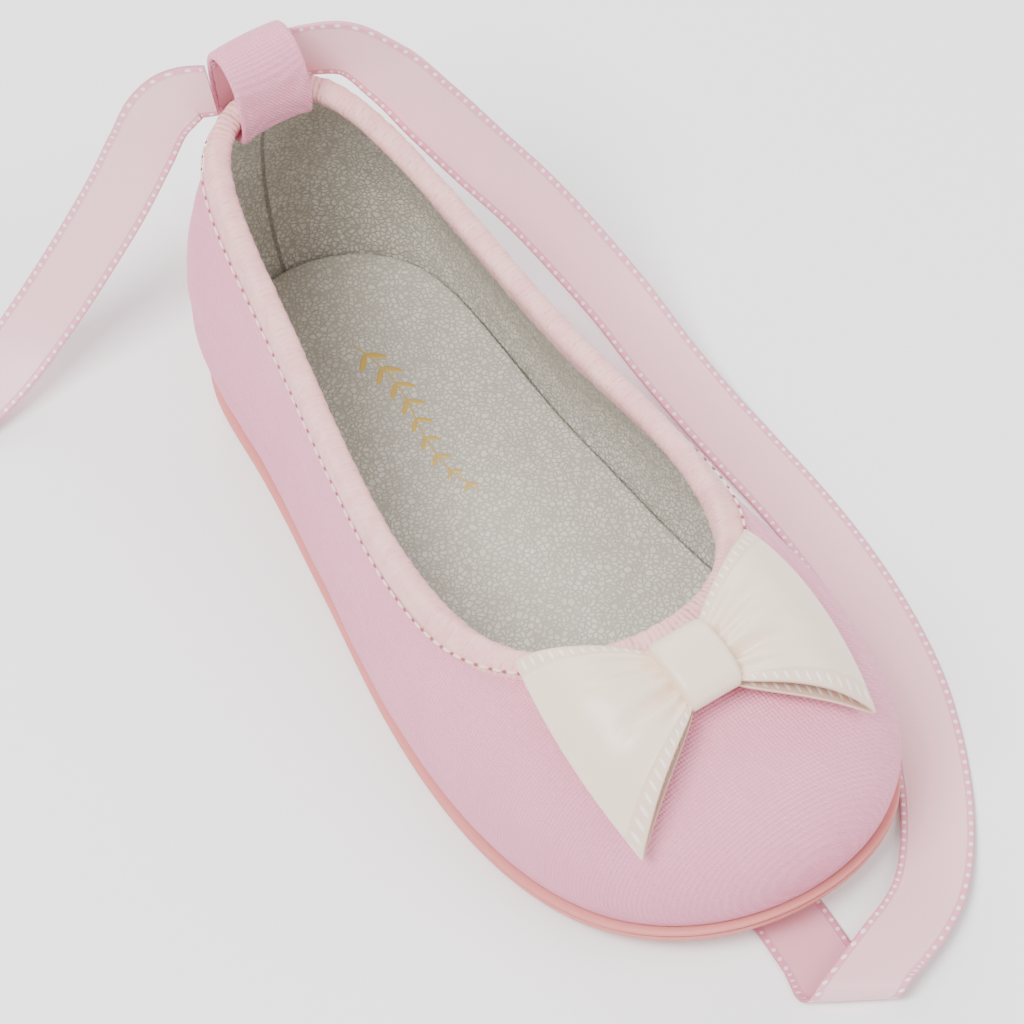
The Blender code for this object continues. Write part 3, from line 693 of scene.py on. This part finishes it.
def makeStitches():
    dense = np.linspace(0.0, 1.0, 3000)
    point, up, out = (grid[0] for grid in wallFrames(dense, np.ones(1)))
    line = point + out * (shoe["gap"] + shoe["bindingStrip"]) - up * stitch["drop"]
    run = runLength(line)
    count = round(run[-1] / stitch["pitch"])
    spread = np.random.default_rng(11).uniform(-0.06, 0.06, count)
    where = (np.arange(count) + 0.5 + spread) / count * run[-1]

    def at(values):
        return np.column_stack([np.interp(where, run, values[:, k]) for k in range(3)])

    middle, outward = at(line), unit(at(out))
    ahead = unit(np.gradient(line, axis=0))
    ahead = unit(at(ahead))
    upward = np.cross(outward, ahead)
    axes = np.stack([ahead, outward, upward], axis=1)
    template, faces = ballTemplate()
    sizes = np.tile([stitch["half"], stitch["thick"], stitch["thick"]], (count, 1))
    threads = scatter("stitches", template, faces, middle + shift - outward * 0.00003, axes,
                      sizes, thread)
    # Dark discs between the stitches, painted as the shade in the needle holes.
    holeShadePlaces = middle + ahead * stitch["pitch"] / 2 - outward * 0.00007
    sizes = np.tile([stitch["holeShade"], 0.00012, stitch["holeShade"] * 0.8], (count, 1))
    holeShadeDiscs = scatter("needleHoleShades", template, faces, holeShadePlaces + shift, axes, sizes, holeShade)
    return [threads, holeShadeDiscs]


# Outsole and insole: an edge section round the feather line, closed by rings.
soleEdge = (
    (-0.42, 0.00), (-0.10, 0.10), (0.00, 0.30), (0.00, 0.50), (-0.16, 0.56), (-0.16, 0.62),
    (0.00, 0.70), (0.02, 0.90), (-0.12, 1.00),
)
insoleEdge = ((0.10, 0.00), (0.00, 0.16), (0.00, 0.74), (0.05, 0.88), (0.16, 0.96), (0.42, 1.0))


def platePiece(name, sections, top, bottom, material, around):
    shares = np.linspace(1.0, 0.0, 26)
    low = [np.column_stack([sections[0][:, :2] * k, bottom(sections[0][:, 1] * k)])
           for k in shares[:0:-1]]
    high = [np.column_stack([sections[-1][:, :2] * k, top(sections[-1][:, 1] * k)])
            for k in shares[1:]]
    points = np.stack([*low, *sections, *high]) + shift
    uvGrid = np.zeros((len(points), around + 1, 2))
    return gridPiece(name, points, uvGrid, [material], closed=True)


def makeOutsole(around=360):
    foot, _, _, outward = lastRows(tubeTurns(around))
    line = foot[:, :2] + outward[:, :2] * shoe["soleMargin"]
    thick = shoe["sole"]
    sections = []
    for out, up in openCurve(soleEdge, 40):
        ring = line + outward[:, :2] * out * thick
        sections.append(np.column_stack([ring, soleRise(ring[:, 1]) + max(up, 0) * thick]))
    return platePiece("soleRubber", sections, lambda y: soleRise(y) + thick, soleRise, rubber,
                      around)


def makeInsole(around=360):
    foot, _, _, outward = lastRows(tubeTurns(around))
    line = foot[:, :2] - outward[:, :2] * (shoe["wall"] + shoe["gap"])
    base, thick = shoe["sole"] + shoe["gap"], shoe["insole"]
    sections = []
    for inward, up in openCurve(insoleEdge, 24):
        ring = line - outward[:, :2] * inward * thick
        sections.append(np.column_stack([ring, soleRise(ring[:, 1]) + base + up * thick]))
    return platePiece("sockBoard", sections, lambda y: soleRise(y) + base + thick,
                      lambda y: soleRise(y) + base, sock, around)


# Heel loop: the CAD model's own path, finer, with slightly padded edges.
loop = {"width": 0.0107, "strap": 0.0010, "rise": 0.0094, "reach": 0.0038, "tail": 0.0075}
loopRows = (
    (-0.80, -0.35), (-0.95, -0.17), (-1.04, 0.06), (-1.02, 0.32), (-0.94, 0.62),
    (-0.62, 0.87), (-0.08, 1.00), (0.50, 0.95), (0.92, 0.74), (1.08, 0.42), (1.10, 0.10),
    (1.05, -0.22),
)


def heelCurve(across):
    line = lastRows(np.linspace(-0.12, 0.12, 97))[1]
    order = np.argsort(line[:, 0])
    return line[len(line) // 2, 1] - np.interp(across, line[order, 0], line[order, 1])


def makeLoop(columns=60, rows=220):
    start = lastRows(np.zeros(1))[1][0]
    strap = loop["strap"]
    offset = shoe["gap"] + strap / 2
    point, _, out = wallFrames(np.zeros(1), np.linspace(1.0, 0.5, 51))
    point, out = point[:, 0, 1:] - start[1:], out[:, 0, 1:]

    def beside(drops, distance):
        line = point + out * distance
        return np.column_stack([np.interp(drops, -line[:, 1], line[:, 0]), -np.asarray(drops)])

    hem = shoe["bindingDepth"] + 1.4 * strap
    rowsIn = np.vstack([
        beside([hem], -shoe["wall"] - offset),
        np.array(loopRows) * (loop["reach"], loop["rise"]),
        beside(np.linspace(hem + strap, loop["tail"], 3), offset),
    ])
    path = openCurve(rowsIn, rows)
    across = np.linspace(-1.0, 1.0, columns)
    heading = unit(np.gradient(path, axis=0))
    normal = np.column_stack([-heading[:, 1], heading[:, 0]])
    hug = np.interp(path[:, 1], [0.0, loop["rise"]], [1.0, 0.45])
    curve = heelCurve(across * loop["width"] / 2)
    edge = 1.0 - 0.55 * np.clip((np.abs(across) - 0.93) / 0.07, 0, 1) ** 2
    grids = []
    for side in (0.5, -0.5):
        line = path[:, None] + normal[:, None] * (side * strap * edge)[None, :, None]
        grid = np.empty((rows, columns, 3))
        grid[..., 0] = start[0] + across * loop["width"] / 2
        grid[..., 1] = start[1] + line[..., 0] - hug[:, None] * curve
        grid[..., 2] = start[2] + line[..., 1]
        grids.append(grid + shift)
    along = runLength(path) * 1e3
    return sheetPiece("pullLoop", grids[0], grids[1], across, along, [clothPink, clothPink])


# Bow: both loops and the knot stand on a smooth cover over vamp and binding.
bow = {
    "reach": 0.0192, "depth": 0.0282, "height": 0.0058, "sheet": 0.0005, "knotWidth": 0.0079,
    "knotDepth": 0.0104, "knotHeight": 0.0052, "along": -0.318, "across": 0.03,
}
bowRows = (
    (0.00, 0.06), (0.30, 0.00), (0.66, 0.00), (0.92, 0.06), (1.00, 0.30), (0.94, 0.58),
    (0.68, 0.86), (0.34, 0.80), (0.00, 0.42),
)


def makeBed():
    turns = np.arange(0.30, 0.70, 0.004)
    surface = wallSurface(turns, np.linspace(0.3, 1.0, 36)).reshape(-1, 3)
    point, up, out = (grid[0] for grid in wallFrames(turns, np.ones(1)))
    half = shoe["wall"] / 2
    crown = [point + out * k + up * h for k, h in (
        (0.0010, -0.0030), (0.0010, 0.0), (0.0006, 0.0009), (-half, 0.0012), (-0.0019, 0.0009),
        (-0.0023, 0.0))]
    obstacles = np.concatenate([surface, *crown])
    middle = np.array([bow["across"] * shoe["ballWidth"] / 2, bow["along"] * shoe["footLength"]])
    near = np.abs(obstacles[:, :2] - middle) < (bow["reach"], 0.56 * bow["depth"])
    x, y, z = (obstacles[near.all(axis=1)] - (*middle, 0.0)).T

    def terms(x, y):
        x, y = x / bow["reach"], y / bow["depth"]
        return np.stack([x**i * y**j for i in range(5) for j in range(5 - i)], axis=-1)

    shape = np.linalg.lstsq(terms(x, y), z, rcond=None)[0]
    shape[0] += (z - terms(x, y) @ shape).max() + shoe["gap"]
    return middle, lambda x, y: terms(x, y) @ shape


bowMiddle, bowBed = makeBed()
# Pleats of a loop's top: place across, width, depth in metres and how far out they reach.
pleats = ((-0.30, 0.13, 0.0022, 0.85), (0.08, 0.09, 0.0011, 0.60), (0.40, 0.11, 0.0016, 0.75),
          (-0.66, 0.10, 0.0009, 0.60), (0.72, 0.10, 0.0008, 0.60))


def makeBowLoop(name, side, columns=110, rows=240):
    path = openCurve(bowRows, rows)
    across = np.linspace(-1.0, 1.0, columns)
    start = bow["knotWidth"] / 2 - 0.0009
    heading = unit(np.gradient(path * (bow["reach"], bow["height"]), axis=0))
    reach = path[:, 0:1]
    waist = bow["knotDepth"] * 0.40
    spread = waist + (bow["depth"] / 2 - waist) * np.maximum(reach, 0) ** 0.8
    bulge = 1.0 - 0.10 * across**2 * reach
    length = (bow["reach"] - start) * reach * bulge
    top = np.clip((path[:, 1:2] - 0.3) / 0.3, 0, 1) * (np.arange(rows)[:, None] > rows * 0.5)
    lift = bow["height"] * path[:, 1:2] * (1.0 - 0.30 * across**2)
    for place, width, depth, far in pleats:
        fade = np.clip(1.0 - reach / far, 0, 1) ** 1.2
        lift = lift - depth * fade * top * np.exp(-(((across - place) / width) ** 2))
    lift = lift + 0.00018 * np.sin(across * 9.0 + side) * reach * top
    grids = []
    for face in (0.0, 1.0):
        x = start + length - face * bow["sheet"] * heading[:, 1:2]
        y = across * spread
        z = bowBed(side * x, y) + lift + bow["sheet"] * (1.0 + face * heading[:, 0:1])
        x = np.maximum(x, start)
        grids.append(np.stack([bowMiddle[0] + side * x, bowMiddle[1] + y, z], axis=-1) + shift)
    along = runLength(path * (bow["reach"], bow["height"])) * 1e3
    if side > 0:
        grids = grids[::-1]
        return sheetPiece(name, grids[0], grids[1], across, along, [creamBackShaded, cream])
    return sheetPiece(name, grids[0], grids[1], across, along, [cream, creamBackShaded])


def makeKnot(rows=60, around=90):
    share = np.linspace(-0.5, 0.5, rows)
    scale = 1.0 - 0.16 * np.clip((np.abs(share) - 0.40) / 0.10, 0, 1) ** 2
    angle = np.arange(around) / around * 2 * math.pi
    scale = scale[:, None] * (1 - 0.010 * np.sin(share * 60.0)[:, None] ** 2)
    x = np.repeat((share * bow["knotWidth"])[:, None], around, 1)
    y = np.sign(np.cos(angle)) * np.abs(np.cos(angle)) ** 0.75 * scale * bow["knotDepth"] / 2
    lift = np.sign(np.sin(angle)) * np.abs(np.sin(angle)) ** 0.8 * scale
    z = bowBed(x, y) + bow["knotHeight"] / 2 * (1.0 + lift)
    points = np.stack([bowMiddle[0] + x, bowMiddle[1] + y, z], axis=-1) + shift
    ends = points.mean(axis=1, keepdims=True)
    points = np.concatenate([ends[:1].repeat(around, 1), points, ends[-1:].repeat(around, 1)])
    uvGrid = np.stack(np.meshgrid(np.arange(around + 1) * 0.25,
                                  np.concatenate([share[:1], share, share[-1:]]) * 1.2), axis=-1)
    return gridPiece("knotBand", points, uvGrid[..., ::-1], [cream], closed=True)


# Ankle ribbon: across, along, up in millimetres and tilt in degrees, the CAD model's rows.
ribbon = {"width": 0.0095, "thick": 0.0004, "step": 0.0005, "exitGap": 0.0}
ribbonRight = (
    (6.5, 62.5, 46.2, 89), (9.6, 61.2, 46.3, 88), (13.2, 58.7, 46.3, 83),
    (16.9, 54.2, 43.2, 66), (20.4, 49.2, 37.4, 53), (24.5, 44.4, 30.0, 46),
    (29.0, 39.8, 22.0, 38), (32.5, 34.0, 14.6, 25), (35.0, 26.8, 8.6, 12),
    (36.2, 18.3, 4.3, 4), (37.2, 8.8, 1.7, 0), (38.0, -0.5, 0.5, 0), (38.4, -10.0, 0.3, 0),
    (38.2, -19.5, 0.3, 0), (37.3, -29.0, 0.3, 0), (35.8, -37.3, 0.3, 0),
    (34.0, -44.0, 0.3, 0), (31.4, -50.6, 0.3, 0), (28.4, -56.6, 0.4, 0),
    (25.0, -62.1, 0.7, 0), (21.3, -66.9, 1.2, 0), (17.3, -70.8, 1.9, 0),
    (13.0, -73.4, 2.6, 0), (8.6, -75.2, 3.1, 0),
)
ribbonTucked = (
    (0.6, -69.6, 0.3, 180), (1.0, -62.5, 0.3, 180), (1.0, -55.0, 0.3, 180),
    (1.0, -47.5, 0.3, 180),
)
ribbonLeft = (
    (-5.4, 62.9, 46.2, -88), (-8.4, 64.7, 45.8, -84), (-11.6, 66.5, 42.5, -75),
    (-15.2, 67.6, 36.0, -62), (-19.4, 68.5, 28.5, -48), (-24.2, 69.2, 21.6, -40),
    (-29.5, 69.5, 15.3, -32), (-35.5, 69.2, 9.8, -24), (-42.5, 68.2, 5.2, -14),
    (-50.5, 67.4, 2.0, -5), (-58.9, 67.9, 0.6, 0), (-67.6, 70.6, 0.3, 0),
    (-75.4, 75.6, 0.3, 0), (-81.6, 82.6, 0.3, 0), (-85.4, 91.2, 0.3, 0),
    (-86.4, 100.6, 0.3, 0), (-84.6, 109.8, 0.3, 0), (-80.0, 118.0, 0.3, 0),
    (-73.2, 124.4, 0.3, 0), (-64.8, 128.6, 0.3, 0),
)
# The roll in front of the toe: middle and radius in millimetres, axis and run in plan.
fold = {"middle": (2.8, -77.4, 3.3), "axis": (-0.853, 0.522), "run": (-0.914, -0.405),
        "radius": 1.5, "rings": 40}


def ribbonEdges(rows):
    rows = np.array(rows, float) * (1e-3, 1e-3, 1e-3, math.pi / 180)
    chord = np.linalg.norm(np.diff(rows[:, :3], axis=0), axis=1)
    slope = np.diff(rows, axis=0) / chord[:, None]
    before, after = chord[:-1, None], chord[1:, None]
    inner = (slope[:-1] * after + slope[1:] * before) / (before + after)
    slopes = np.vstack([slope[:1], inner, slope[-1:]])
    parts = []
    for i, span in enumerate(chord):
        steps = max(2, round(span / ribbon["step"]))
        t = np.linspace(0.0, 1.0, steps, endpoint=False)[:, None]
        parts.append(rows[i] * (2 * t**3 - 3 * t**2 + 1)
                     + slopes[i] * span * (t**3 - 2 * t**2 + t)
                     + rows[i + 1] * (3 * t**2 - 2 * t**3)
                     + slopes[i + 1] * span * (t**3 - t**2))
    curve = np.vstack([*parts, rows[-1:]])
    run = unit(np.gradient(curve[:, :3], axis=0))
    level = unit(np.cross([0.0, 0.0, 1.0], run))
    tilt = curve[:, 3:]
    side = np.cos(tilt) * level + np.sin(tilt) * np.cross(run, level)
    half = ribbon["width"] / 2
    return np.stack([curve[:, :3] - side * half, curve[:, :3] + side * half], axis=1)


def foldEdges():
    axis = np.array([*fold["axis"], 0.0])
    run = np.array([*fold["run"], 0.0])
    beyond = unit(run - axis * (run @ axis))
    slant = (run @ axis) / (run @ beyond)
    half = ribbon["width"] / 2 / (run @ beyond)
    radius = fold["radius"] * 1e-3
    angle = np.linspace(0.0, math.pi, fold["rings"])[:, None]
    middle = (np.array(fold["middle"]) * 1e-3 + axis * slant * radius * angle
              + beyond * radius * np.sin(angle)
              - np.array([0.0, 0.0, 1.0]) * radius * (1 - np.cos(angle)))
    return np.stack([middle + axis * half, middle - axis * half], axis=1)


def evenEdges(edges, count):
    run = runLength(edges.mean(axis=1))
    even = np.linspace(0.0, run[-1], count)
    flat = edges.reshape(len(edges), 6)
    return np.column_stack([np.interp(even, run, flat[:, k]) for k in range(6)]).reshape(-1, 2, 3)


def ribbonPiece(name, edges, length, columns=24):
    count = round(length / ribbon["step"])
    edges = evenEdges(edges, count)
    run = np.gradient(edges.mean(axis=1), axis=0)
    face = unit(np.cross(run, edges[:, 1] - edges[:, 0]))
    across = np.linspace(-1.0, 1.0, columns)
    share = (across[None, :, None] + 1) / 2
    sheet = edges[:, :1] * (1 - share) + edges[:, 1:] * share
    offset = face[:, None] * ribbon["thick"] / 2
    along = runLength(edges.mean(axis=1)) * 1e3
    piece = sheetPiece(name, sheet + offset, sheet - offset, across, along, [rose, roseBackShaded])
    return piece


def makeStay(columns=40, rows=30):
    start = lastRows(np.zeros(1))[1][0]
    across = np.linspace(-1.0, 1.0, columns)
    width = loop["width"] * 0.97 / 2
    top = loop["rise"] - 2.4 * loop["strap"]
    up = np.linspace(top - ribbon["width"], top, rows)
    hug = np.interp(up, [0.0, loop["rise"]], [1.0, 0.45])
    curve = heelCurve(across * width)
    grids = []
    for side in (-0.5, 0.5):
        grid = np.empty((rows, columns, 3))
        grid[..., 0] = start[0] + across * width
        grid[..., 1] = (start[1] + 0.70 * loop["reach"] + side * ribbon["thick"]
                        - hug[:, None] * curve)
        grid[..., 2] = start[2] + up[:, None]
        grids.append((grid + shift).transpose(1, 0, 2))
    return sheetPiece("ribbonInLoop", grids[0], grids[1], np.linspace(-1, 1, rows),
                      across * width * 1e3, [roseBackShaded, rose])


# A small generic gold sprig on the insole: leaves in pairs along a bent stem, no letters.
sprig = {"from": (0.0016, 0.0440), "to": (0.0023, 0.0130), "pairs": 9, "leaf": 0.0014,
         "slim": 0.00042, "lift": 0.00007, "spread": 42.0, "bend": 0.0011, "beads": 60}


def makeSprig():
    base = shoe["sole"] + shoe["gap"] + shoe["insole"]
    start, end = np.array(sprig["from"]), np.array(sprig["to"])
    heading = unit(end - start)
    side = np.array([-heading[1], heading[0]])

    def stem(share):
        bend = sprig["bend"] * np.sin(share * math.pi * 2)
        return start + (end - start) * share[:, None] + side * bend[:, None]

    def lay(name, middles, lead, sizes):
        lead = np.concatenate([lead, np.zeros((len(lead), 1))], axis=1)
        up = np.broadcast_to([0.0, 0.0, 1.0], lead.shape)
        axes = np.stack([lead, up, np.cross(up, lead)], axis=1)
        places = np.column_stack([middles, base + soleRise(middles[:, 1] - shift[1])])
        template, faces = ballTemplate()
        return scatter(name, template, faces, places, axes, sizes, gold)

    share = np.linspace(0.06, 0.94, sprig["pairs"])
    middles, leads, sizes = [], [], []
    for turn in (-1, 1):
        angle = math.radians(sprig["spread"]) * turn
        lead = heading * math.cos(angle) + side * math.sin(angle)
        length = sprig["leaf"] * (1.2 - 0.6 * share)
        middles.append(stem(share) + lead * length[:, None])
        leads.append(np.tile(lead, (len(share), 1)))
        sizes.append(np.column_stack([length, np.full_like(length, sprig["lift"]),
                                      length * sprig["slim"] / sprig["leaf"]]))
    leaves = lay("sprigLeaves", *(np.concatenate(x) for x in (middles, leads, sizes)))
    along = np.linspace(0.0, 1.0, sprig["beads"])
    line = stem(along)
    size = np.tile([0.00034, sprig["lift"], 0.00013], (len(along), 1))
    return [leaves, lay("sprigStem", line, unit(np.gradient(line, axis=0)), size)]


def settle(pieces, slotName, *nodes):
    for piece in pieces:
        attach(piece, "root")
    if nodes:
        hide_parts(*nodes)


rightEdges = np.concatenate([ribbonEdges(ribbonRight), foldEdges(), ribbonEdges(ribbonTucked)])
leftEdges = ribbonEdges(ribbonLeft)
print("ribbon lengths", runLength(rightEdges.mean(axis=1))[-1], runLength(leftEdges.mean(axis=1))[-1])
settle([ribbonPiece("ribbonRightEnd", rightEdges, 0.217)],
       "ribbon_satin", "ribbon_right")
settle([ribbonPiece("ribbonLeftEnd", leftEdges, 0.156)],
       "ribbon_satin", "ribbon_left")
settle([makeStay()], "ribbon_satin", "ribbon_stay")
print("ribbons made")
settle([makeUpper()], "leather", "upper")
settle([makeLining()], "leather")
settle([makeBinding()], "binding", "collar_binding")
settle(makeStitches(), "binding")
print("upper, lining, binding and stitches made")
settle([makeOutsole()], "rubber", "outsole")
settle([makeInsole()], "sock", "insole")
settle(makeSprig(), "sock")
settle([makeLoop()], "leather", "heel_loop")
print("soles and loop made")
settle([makeBowLoop("bowLoopLeft", -1)], "bow_satin", "bow_left")
settle([makeBowLoop("bowLoopRight", 1)], "bow_satin", "bow_right")
settle([makeKnot()], "bow_satin", "bow_knot")
print("bow made")


# Floor and light: a pale plain floor and soft studio lamps.
studio = {
    "floor": 3.0,
    "world": 1.0,
    "lamps": (
        ("key", (-0.45, -0.10, 0.85), 0.45, 13.0),
        ("fill", (0.55, -0.55, 0.70), 0.70, 6.0),
        ("back", (0.10, 0.75, 0.60), 0.50, 5.0),
    ),
}


def makeStudio():
    half = studio["floor"] / 2
    mesh = bpy.data.meshes.new("floor")
    mesh.from_pydata([(-half, -half, 0), (half, -half, 0), (half, half, 0), (-half, half, 0)],
                     [], [(0, 1, 2, 3)])
    mesh.materials.append(finish("paleFloor", colour("FAFAFA"), 0.9, specular=0.1))
    floor = bpy.data.objects.new("floor", mesh)
    bpy.context.scene.collection.objects.link(floor)
    world = bpy.data.worlds.new("studio")
    world.use_nodes = True
    world.node_tree.nodes["Background"].inputs[0].default_value = (1.0, 1.0, 1.0, 1.0)
    world.node_tree.nodes["Background"].inputs[1].default_value = studio["world"]
    bpy.context.scene.world = world
    for name, place, side, power in studio["lamps"]:
        data = bpy.data.lights.new(name, "AREA")
        data.size = side
        data.energy = power
        lamp = bpy.data.objects.new(name, data)
        bpy.context.scene.collection.objects.link(lamp)
        away = unit(place)
        right = unit(np.cross([0, 0, 1.0], away))
        up = np.cross(away, right)
        turn = Matrix([[*axis] for axis in zip(right, up, away)]).to_4x4()
        lamp.matrix_world = Matrix.Translation(place) @ turn


makeStudio()
print("studio made")
